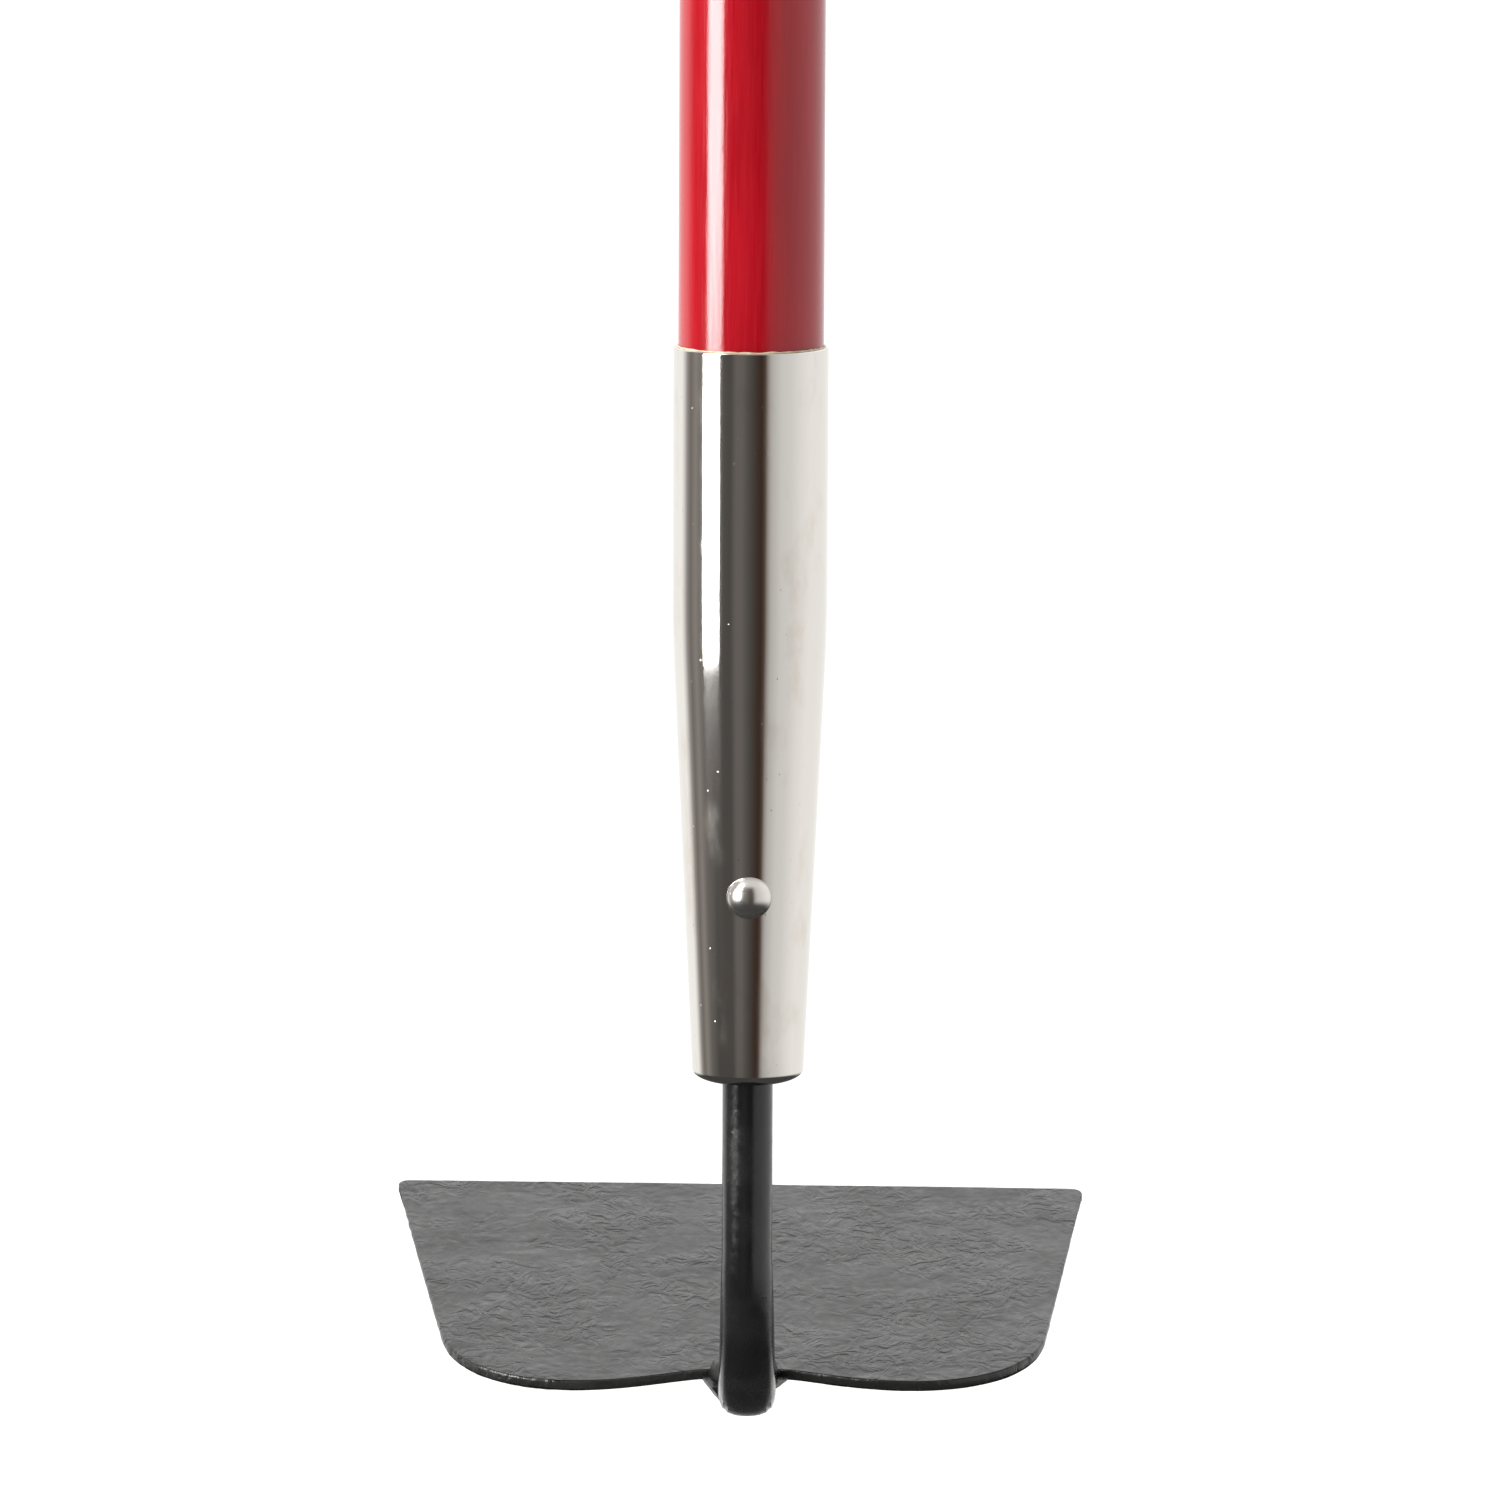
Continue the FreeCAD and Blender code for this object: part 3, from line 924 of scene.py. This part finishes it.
@dataclass
class Blade:
    """Forged plate: a shaped sheet, thickened, thinned to the edge, eased and pitted with scale."""

    half_width: float = 81.1 * MM
    depth: float = 113.75 * MM
    tilt: float = math.radians(11.2)
    root_thickness: float = 3.2 * MM
    edge_thickness: float = 1.6 * MM
    side_angle: float = math.radians(7.6)
    lobe_drop: float = 6.9 * MM
    shoulder_radius: float = 30.5 * MM
    notch_half_width: float = 10.2 * MM
    root_slope: float = math.radians(18.3)
    root_pull: float = 0.4
    corner_x: float = 59.5 * MM
    far_corner: float = 3.0 * MM
    bevel_length: float = 5.0 * MM
    edge_land: float = 0.5 * MM
    wind: float = math.radians(0.66)
    scale_depth: float = 0.35 * MM
    crease_size: float = 4.4 * MM
    crease_depth: float = 0.45 * MM
    grain_size: float = 2.0 * MM
    wave_size: float = 30 * MM
    wave_depth: float = 0.25 * MM
    patch_size: float = 17 * MM
    patch_seed: float = 4.0
    patch_level: float = 0.5
    patch_contrast: float = 1.3
    least_patch: float = 0.12
    fade_right: float = 0.35
    columns: int = 24
    rows: int = 22
    crowding: float = 0.5
    halvings: int = 40
    eased_edge: float = 0.7 * MM
    rim_angle: float = math.radians(60)
    smooth_angle: float = math.radians(50)

    def __post_init__(self) -> None:
        """Place the shoulder's centre."""
        self.shoulder_y = self.shoulder_radius - self.lobe_drop
        side_x = self.side_x(self.shoulder_y)
        self.shoulder_x = side_x - self.shoulder_radius / math.cos(self.side_angle)

    def side_x(self, y: float) -> float:
        """Half width along the straight side, at a distance from the notch."""
        return self.half_width - (self.depth - y) * math.tan(self.side_angle)

    def root_y(self, x: float) -> float:
        """Back edge of the plate at a distance from the centreline.

        Args:
            x: Distance across the blade.

        Returns:
            How far the edge is from the notch; negative is behind it.
        """
        x = abs(x)
        if x >= self.shoulder_x:
            return self.shoulder_y - math.sqrt(self.shoulder_radius ** 2 - (x - self.shoulder_x) ** 2)
        if x <= self.notch_half_width:
            return 0.0
        span = self.shoulder_x - self.notch_half_width
        pull = span * self.root_pull
        poles = [
            (self.notch_half_width, 0.0),
            (self.notch_half_width + pull, -math.tan(self.root_slope) * pull),
            (self.shoulder_x - pull, -self.lobe_drop),
            (self.shoulder_x, -self.lobe_drop),
        ]
        low, high = 0.0, 1.0
        for _ in range(self.halvings):
            t = (low + high) / 2
            if self.bezier(poles, t)[0] < x:
                low = t
            else:
                high = t
        return self.bezier(poles, t)[1]

    @staticmethod
    def bezier(poles: Sequence[Ring], t: float) -> Ring:
        """Point on a cubic curve."""
        weights = ((1 - t) ** 3, 3 * t * (1 - t) ** 2, 3 * t * t * (1 - t), t ** 3)
        return (
            sum(w * p[0] for w, p in zip(weights, poles)),
            sum(w * p[1] for w, p in zip(weights, poles)),
        )

    def outline_x(self, y: float) -> float:
        """Half width of the outline at a distance from the notch.

        Args:
            y: Distance from the notch, towards the cutting edge.

        Returns:
            The half width.
        """
        tangent_y = self.shoulder_y - self.shoulder_radius * math.sin(self.side_angle)
        if y >= tangent_y:
            rounding = max(0.0, y + self.far_corner - self.depth)
            return self.side_x(y) - rounding ** 2 / (2 * self.far_corner)
        return self.shoulder_x + math.sqrt(self.shoulder_radius ** 2 - (y - self.shoulder_y) ** 2)

    def crowd(self, share: float) -> float:
        """Spread a share from 0 to 1 so that stations crowd at both ends."""
        return share - self.crowding * math.sin(2 * math.pi * share) / (2 * math.pi)

    def shape_sheet(self, piece: Piece) -> None:
        """Shape a flat grid to the blade's outline, by whole rows and whole columns.

        Args:
            piece: An empty mesh to fill.
        """
        with editing(piece):
            bpy.ops.mesh.primitive_grid_add(
                x_subdivisions=self.columns, y_subdivisions=self.rows, size=1.0, location=(0, 0, 0)
            )
            bpy.ops.transform.resize(value=(2 * self.corner_x, self.depth, 1), center_override=(0, 0, 0))
            bpy.ops.transform.translate(value=(0, self.depth / 2, 0))
        spots = [vertex.co.copy() for vertex in piece.data.vertices]
        row_of = [round(spot.y / self.depth * self.rows) for spot in spots]
        column_of = [round((spot.x / self.corner_x + 1) / 2 * self.columns) for spot in spots]
        rows = [[n for n, row in enumerate(row_of) if row == j] for j in range(self.rows + 1)]
        columns = [[n for n, column in enumerate(column_of) if column == i] for i in range(self.columns + 1)]
        drawn_in = (self.depth - self.root_y(self.corner_x)) / self.depth
        with editing(piece):
            for j, numbers in enumerate(rows):
                share = j / self.rows
                pick_numbers(piece, numbers)
                bpy.ops.transform.translate(value=(0, self.depth * (self.crowd(share) - share), 0))
            for i, numbers in enumerate(columns):
                half = 2 * i / self.columns - 1
                x = math.copysign(self.corner_x * self.crowd(abs(half)), half)
                drawn = (self.depth - self.root_y(x)) / self.depth
                pick_numbers(piece, numbers)
                bpy.ops.transform.translate(value=(x - self.corner_x * half, 0, 0))
                bpy.ops.transform.resize(value=(1, drawn, 1), center_override=(0, self.depth, 0))
            for j, numbers in enumerate(rows):
                end_y = self.depth - (self.depth - self.depth * self.crowd(j / self.rows)) * drawn_in
                widen = self.outline_x(end_y) / self.corner_x
                pick_numbers(piece, numbers)
                bpy.ops.transform.resize(value=(widen, 1, 1), center_override=(0, 0, 0))
                turn("Y", self.wind * end_y / self.depth, Vector((0, end_y, 0)))
            bpy.ops.mesh.select_all(action="SELECT")
            drop = (self.root_thickness - self.edge_thickness) / 2
            turn("X", -math.atan(drop / self.depth))
            bpy.ops.transform.translate(value=(0, 0, self.root_thickness / 2 - self.scale_depth))

    def gauge(self, y: float) -> float:
        """Share of the root's thickness that is left at a distance from the notch."""
        taper = 1 + (self.edge_thickness / self.root_thickness - 1) * max(y, 0.0) / self.depth
        ground = max(0.0, 1 - (self.depth - y) / self.bevel_length)
        return taper - (self.edge_thickness - self.edge_land) / self.root_thickness * min(ground, 1.0)

    def thicken(self, piece: Piece) -> None:
        """Give the sheet its tapered thickness and ease its rim, all but the cutting edge.

        Args:
            piece: The smooth sheet.
        """
        group = piece.vertex_groups.new(name="gauge")
        for vertex in piece.data.vertices:
            group.add([vertex.index], self.gauge(vertex.co.y), "REPLACE")
        apply_modifier(
            piece, "SOLIDIFY", thickness=self.root_thickness - 2 * self.scale_depth, offset=-1.0,
            vertex_group="gauge", use_even_offset=False,
        )
        with editing(piece):
            pick_sharp_edges(piece, self.rim_angle, lambda co: co.y < self.depth - self.bevel_length)
            bpy.ops.mesh.bevel(offset=self.eased_edge, segments=3, affect="EDGES")
        bpy.ops.object.vertex_group_remove(all=True)

    def scale_over(self, piece: Piece) -> None:
        """Roughen the plate: broad hammering, patches of creased scale, and a fine grain.

        Args:
            piece: The thick plate, still flat.
        """
        group = piece.vertex_groups.new(name="patches")
        for vertex in piece.data.vertices:
            spot = Vector((vertex.co.x / self.patch_size, vertex.co.y / self.patch_size, self.patch_seed))
            level = self.patch_level + self.patch_contrast * noise.noise(spot)
            patch = min(1.0, max(self.least_patch, level))
            shade = 1.0 - self.fade_right * vertex.co.x / self.half_width
            clear = min(1.0, max(0.0, (self.depth - vertex.co.y) / (2 * self.bevel_length)))
            group.add([vertex.index], patch * clear * min(1.0, shade), "REPLACE")
        roughen(piece, self.wave_size, self.wave_depth, shift=0.7)
        roughen(
            piece, self.crease_size, self.crease_depth, (1.0, 1.3, 1.0), hard=True, octaves=3, group="patches"
        )
        roughen(piece, self.grain_size, self.scale_depth * 0.3, (1.3, 1.0, 1.0), shift=0.3)
        bpy.ops.object.vertex_group_remove(all=True)

    def build(self, neck: Neck, finish: EnamelFinish) -> None:
        """Make the plate and set it at the neck's end.

        Args:
            neck: The bar that it is welded to.
            finish: Enamel.
        """
        piece = blank_piece("forged_blade")
        self.shape_sheet(piece)
        apply_modifier(piece, "SUBSURF", levels=3, render_levels=3)
        self.thicken(piece)
        self.scale_over(piece)
        set_in_place(piece, self.tilt, neck.end_point)
        close_and_smooth(piece, self.smooth_angle)
        finish_piece(piece, finish.build(), "blade_enamel", "blade")


@dataclass
class Weld:
    """Bead round the neck's end on one face of the plate, dressed flat on both sides."""

    placing: Placing = Placing.ABOVE
    half_width: float = 8.0 * MM
    reach: float = 7.5 * MM
    rise: float = 7.0 * MM
    swell: float = 1.0
    ripple: float = 0.3 * MM
    tilt: float = math.radians(11.2)
    segments: int = 72
    rings: int = 48
    lump: float = 2.4 * MM
    voxel_share: float = 0.9
    softening: float = 0.6
    soft_passes: int = 6
    smooth_angle: float = math.radians(60)
    flats: tuple[tuple[Scale, Scale], ...] = ()

    def build(self, neck: Neck, material: Material) -> None:
        """Shape the bead from a ball, cut flat where it is dressed, and set it on the joint.

        Args:
            neck: The bar that it is laid round.
            material: Enamel.
        """
        side = self.placing.value
        piece = blank_piece("weld_bead_" + self.placing.name.lower())
        limits = [limit - self.ripple / 2 for limit in (self.half_width, self.reach, self.rise)]
        with editing(piece):
            bpy.ops.mesh.primitive_uv_sphere_add(segments=self.segments, ring_count=self.rings, radius=1.0)
            bpy.ops.transform.resize(
                value=[limit * self.swell for limit in limits], center_override=(0, 0, 0)
            )
        cuts = [((0, 0, 0), (0, 0, -side)), *self.flats]
        if self.swell > 1:
            wide, far, deep = limits
            cuts += [
                ((wide, 0, 0), (1, 0, 0)), ((-wide, 0, 0), (-1, 0, 0)),
                ((0, far, 0), (0, 1, 0)), ((0, -far, 0), (0, -1, 0)),
                ((0, 0, side * deep), (0, 0, side)),
            ]
        with editing(piece):
            for spot, facing in cuts:
                bpy.ops.mesh.select_all(action="SELECT")
                bpy.ops.mesh.bisect(plane_co=spot, plane_no=facing, use_fill=True, clear_outer=True)
        apply_modifier(piece, "REMESH", mode="VOXEL", voxel_size=self.ripple * self.voxel_share)
        apply_modifier(piece, "SMOOTH", factor=self.softening, iterations=self.soft_passes)
        roughen(piece, self.lump, self.ripple, (0.7, 1.5, 1.0), shift=0.2 * side)
        set_in_place(piece, self.tilt, neck.end_point)
        close_and_smooth(piece, self.smooth_angle)
        node = "weld_upper" if self.placing is Placing.ABOVE else "weld_lower"
        finish_piece(piece, material, "weld_enamel", node)


def joint_beads() -> list[Weld]:
    """The small bead above the plate, and the broad one below that runs down to the bend."""
    return [
        Weld(flats=(
            ((-9.6 * MM, 0, 1.6 * MM), (-0.53, 0, 0.85)),
            ((9.6 * MM, 0, 1.6 * MM), (0.53, 0, 0.85)),
        )),
        Weld(
            placing=Placing.BELOW, half_width=10.2 * MM, rise=5.6 * MM, swell=1.3,
            flats=(
                ((-8.7 * MM, 0, -1.9 * MM), (-0.80, -0.283, -0.530)),
                ((8.9 * MM, 0, -1.3 * MM), (0.456, -0.222, -0.862)),
            ),
        ),
    ]


@dataclass
class Butt:
    """Cushion grip and end cap."""

    segments: int = 96
    edge: float = 1.5 * MM
    groove_pitch: float = 12.5 * MM
    groove_half: float = 1.3 * MM
    groove_depth: float = 0.9 * MM
    end_margin: float = 16 * MM
    cap_wall: float = 2.4 * MM
    tube_bore: float = 12.7 * MM
    cap_gap: float = 0.1 * MM
    cap_edge: float = 1.5 * MM
    cap_centre: float = 0.2 * MM
    groove_roundness: float = 1.4
    groove_steps: int = 8
    edge_steps: int = 6
    cap_edge_steps: int = 8
    ring_dip: float = 0.5 * MM
    ring_dip_from: tuple[float, float, float, float] = (3.4 * MM, 3.7 * MM, 4.6 * MM, 4.9 * MM)

    def grip_stations(self) -> list[Ring]:
        """Outside of the grip from the bottom up, with ring grooves."""
        low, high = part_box("cushion_grip")
        radius = (high.x - low.x) / 2
        inner, reach = radius - self.edge, (self.edge, self.edge)
        stations = arc_stations((inner, low.z + self.edge), reach, -90, 0, self.edge_steps)
        count = int((high.z - low.z - 2 * self.end_margin) / self.groove_pitch) + 1
        start = (low.z + high.z - (count - 1) * self.groove_pitch) / 2
        for i in range(count):
            middle = start + i * self.groove_pitch
            for k in range(-self.groove_steps, self.groove_steps + 1):
                share = k / self.groove_steps
                depth = self.groove_depth * math.cos(share * math.pi / 2) ** self.groove_roundness
                stations.append((radius - depth, middle + share * self.groove_half))
        return stations + arc_stations((inner, high.z - self.edge), reach, 0, 90, self.edge_steps)

    def build_grip(self, finish: RubberFinish) -> None:
        """Turn the grooved sleeve and dress it.

        Args:
            finish: Rubber.
        """
        low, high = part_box("cushion_grip")
        tube_low, tube_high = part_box("handle_tube")
        inside = (tube_high.x - tube_low.x) / 2
        piece = turn_stack(
            "cushion_sleeve", [(inside, low.z), *self.grip_stations(), (inside, high.z)], self.segments
        )
        finish_piece(piece, finish.build(), "grip_rubber", "cushion_grip")

    def build_cap(self, finish: MouldedFinish) -> None:
        """Turn the cap with its hollow plug and dress it.

        Args:
            finish: Plastic.
        """
        low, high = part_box("end_cap")
        radius = (high.x - low.x) / 2
        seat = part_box("handle_tube")[1].z
        plug = self.tube_bore - self.cap_gap
        edge = self.cap_edge
        dips = (0.0, self.ring_dip, self.ring_dip, 0.0)
        piece = turn_stack("butt_cap", [
            (self.cap_centre, seat),
            (plug - self.cap_wall, seat),
            (plug - self.cap_wall, low.z),
            (plug, low.z),
            (plug, seat),
            (radius, seat),
            *arc_stations((radius - edge, high.z - edge), (edge, edge), 0, 90, self.cap_edge_steps),
            *((radius - inset, high.z - dip) for inset, dip in zip(self.ring_dip_from, dips)),
            (self.cap_centre, high.z),
        ], self.segments, capped=True)
        finish_piece(piece, finish.build(), "cap_plastic", "end_cap")


@dataclass
class Studio:
    """Pale floor, soft light and the camera."""

    distance: float = 2.2
    pitch: float = math.radians(8.24)
    azimuth: float = math.radians(-0.6)
    roll: float = math.radians(0.27)
    lens: float = 241.2
    sensor: float = 36.0
    aim_x: float = 0.17 * MM
    aim_below_mouth: float = 88.8 * MM
    overhead: float = 0.95
    overhead_from: Ring = (math.radians(44), math.radians(60))
    below: float = 0.07
    below_from: Ring = (math.radians(-14), math.radians(-35))
    behind: float = 1.45
    behind_from: Ring = (math.radians(12), math.radians(22))
    behind_depth: Ring = (0.2, 0.5)
    floor_gap: float = 0.35
    floor_size: float = 30.0
    softbox_azimuth: float = math.radians(-61.0)
    softbox_distance: float = 0.8
    softbox_width: float = 0.376
    softbox_split: float = -0.95
    softbox_below_mouth: float = 0.222
    strip_radiance: float = 21.0
    fill_radiance: float = 7.0

    def build_camera(self) -> None:
        """Set up the camera on the side away from the blade's reach."""
        aim = Vector((self.aim_x, 0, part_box("ferrule")[1].z - self.aim_below_mouth))
        back = Vector((
            math.sin(self.azimuth) * math.cos(self.pitch),
            -math.cos(self.azimuth) * math.cos(self.pitch),
            math.sin(self.pitch),
        ))
        right = (-back).cross(Vector((0, 0, 1))).normalized()
        up = right.cross(-back)
        across = right * math.cos(self.roll) + up * math.sin(self.roll)
        upward = up * math.cos(self.roll) - right * math.sin(self.roll)
        camera = bpy.data.objects.new("camera", bpy.data.cameras.new("camera"))
        camera.data.lens = self.lens
        camera.data.sensor_width = self.sensor
        camera.data.clip_end = 100.0
        turned = Matrix((across, upward, back)).transposed().to_4x4()
        camera.matrix_world = Matrix.Translation(aim + back * self.distance) @ turned
        bpy.context.scene.collection.objects.link(camera)
        bpy.context.scene.camera = camera

    def build_world(self) -> None:
        """White backdrop; what the hoe reflects is darker in front and below, and white behind."""
        world = bpy.data.worlds.new("studio")
        bpy.context.scene.world = world
        board = NodeBoard(world)
        split = board.add("SeparateXYZ", {0: board.add("TexCoord", {}).outputs["Generated"]}).outputs
        angle = board.math("ARCTAN2", split["X"], board.math("MULTIPLY", split["Y"], -1.0))
        turned = board.add("MapRange", {"Value": angle, "From Min": -math.pi, "From Max": math.pi})
        bands = board.add("ValToRGB", {"Fac": turned.outputs["Result"]})
        self.fill_bands(bands.color_ramp)
        around = bands.outputs["Color"]
        zones = (
            (self.behind_from, self.behind_depth, self.behind),
            (self.overhead_from, None, self.overhead),
            (self.below_from, None, self.below),
        )
        for (low, high), depth, level in zones:
            share = board.ramp(split["Z"], math.sin(low), math.sin(high))
            if depth:
                share = board.math("MULTIPLY", share, board.ramp(split["Y"], *depth))
            around = board.blend(share, around, (level, level, level))
        lit = board.add("Background", {"Color": around})
        shown = board.add("Background", {"Color": WHITE})
        from_camera = board.add("LightPath", {}).outputs["Is Camera Ray"]
        either = board.add("MixShader", {"Fac": from_camera, 1: lit.outputs[0], 2: shown.outputs[0]})
        board.add("OutputWorld", {"Surface": either.outputs[0]})

    @staticmethod
    def fill_bands(ramp: bpy.types.ColorRamp) -> None:
        """Brightness round the hoe, by degrees from the camera side, rightwards positive.

        Args:
            ramp: The colour ramp that spans -180 to 180 degrees.
        """
        plain = (1.0, 0.995, 0.985)
        dusk = (1.0, 0.93, 0.88)
        brown = (1.0, 0.68, 0.55)
        bands = [
            (-180, 1.12, plain), (-143, 1.22, plain), (-124, 1.28, plain), (-117, 0.95, plain),
            (-109, 0.42, dusk), (-101, 0.23, dusk), (-90, 0.34, dusk), (-78, 0.18, dusk),
            (-60, 0.09, dusk), (-30, 0.10, dusk), (-22, 0.18, dusk), (-13, 0.18, dusk),
            (-6, 0.13, dusk), (2, 0.09, dusk), (9, 0.075, brown), (16, 0.05, brown),
            (21, 0.12, brown), (26, 0.45, dusk), (31, 0.65, plain), (46, 0.86, plain),
            (62, 0.92, plain), (80, 1.07, plain), (100, 1.18, plain), (180, 1.12, plain),
        ]
        while len(ramp.elements) > 1:
            ramp.elements.remove(ramp.elements[0])
        for i, (degrees, level, tint) in enumerate(bands):
            spot = (degrees + 180) / 360
            element = ramp.elements[0] if i == 0 else ramp.elements.new(spot)
            element.position = spot
            element.color = (*(level * part for part in tint), 1)

    def build_softbox(self, name: str, low: float, high: float, radiance: float) -> None:
        """Upright softbox at the front left.

        Args:
            name: The light's name.
            low: Height of its lower edge.
            high: Height of its upper edge.
            radiance: Brightness of its face.
        """
        lamp = bpy.data.lights.new(name, "AREA")
        lamp.shape = "RECTANGLE"
        lamp.size, lamp.size_y = self.softbox_width, high - low
        lamp.energy = radiance * math.pi * lamp.size * lamp.size_y
        light = bpy.data.objects.new(name, lamp)
        out = Vector((math.sin(self.softbox_azimuth), -math.cos(self.softbox_azimuth), 0))
        light.location = out * self.softbox_distance + Vector((0, 0, (low + high) / 2))
        light.rotation_euler = (-out).to_track_quat("-Z", "Y").to_euler()
        light.visible_camera = False
        bpy.context.scene.collection.objects.link(light)

    def build_floor(self) -> None:
        """Plain pale floor, well below the blade."""
        deselect_everything()
        bpy.ops.mesh.primitive_plane_add(
            size=self.floor_size, location=(0, 0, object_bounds()[0].z - self.floor_gap)
        )
        floor = bpy.context.object
        floor.name = "floor"
        board = FinishBoard(
            "pale_floor", Roughness=0.9, Specular_IOR_Level=0.0, Emission_Color=WHITE, Emission_Strength=0.35
        )
        mottle = board.blend(board.noise((3, 3, 3)), (0.90, 0.90, 0.90), (0.93, 0.93, 0.93))
        board.tree.links.new(mottle, board.shader.inputs["Base Color"])
        floor.data.materials.append(board.owner)
        floor.visible_glossy = False
        floor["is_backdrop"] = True

    def build(self) -> None:
        """Make the whole studio."""
        bpy.context.scene.view_settings.view_transform = "Standard"
        self.build_camera()
        self.build_world()
        low_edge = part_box("ferrule")[1].z - self.softbox_below_mouth
        self.build_softbox("low_softbox", low_edge, self.softbox_split, self.strip_radiance)
        self.build_softbox("high_softbox", self.softbox_split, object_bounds()[1].z, self.fill_radiance)
        self.build_floor()


def main() -> None:
    """Build and dress every piece, then the studio."""
    logging.basicConfig(level=logging.INFO, format="%(name)s: %(message)s")
    Handle().build(FibreglassFinish())
    Ferrule().build(NickelFinish(), NickelFinish("rivet_nickel", roughness=0.25), AdhesiveFinish())
    neck = Neck()
    neck.build(EnamelFinish("neck_enamel", 0.20, grain=420, grain_depth=0.08 * MM))
    Blade().build(neck, EnamelFinish(
        "blade_enamel", 0.32, paint=(0.010, 0.0105, 0.0095), thin_paint=(0.014, 0.0143, 0.0133),
        grain_depth=0.06 * MM, crease_depth=0.27 * MM,
    ))
    weld_enamel = EnamelFinish("weld_enamel", 0.3, grain=700).build()
    for bead in joint_beads():
        bead.build(neck, weld_enamel)
    butt = Butt()
    butt.build_grip(RubberFinish())
    butt.build_cap(MouldedFinish())
    dress_node("tang_plug", HardwoodFinish().build())
    Studio().build()


if __name__ == "__main__":
    main()
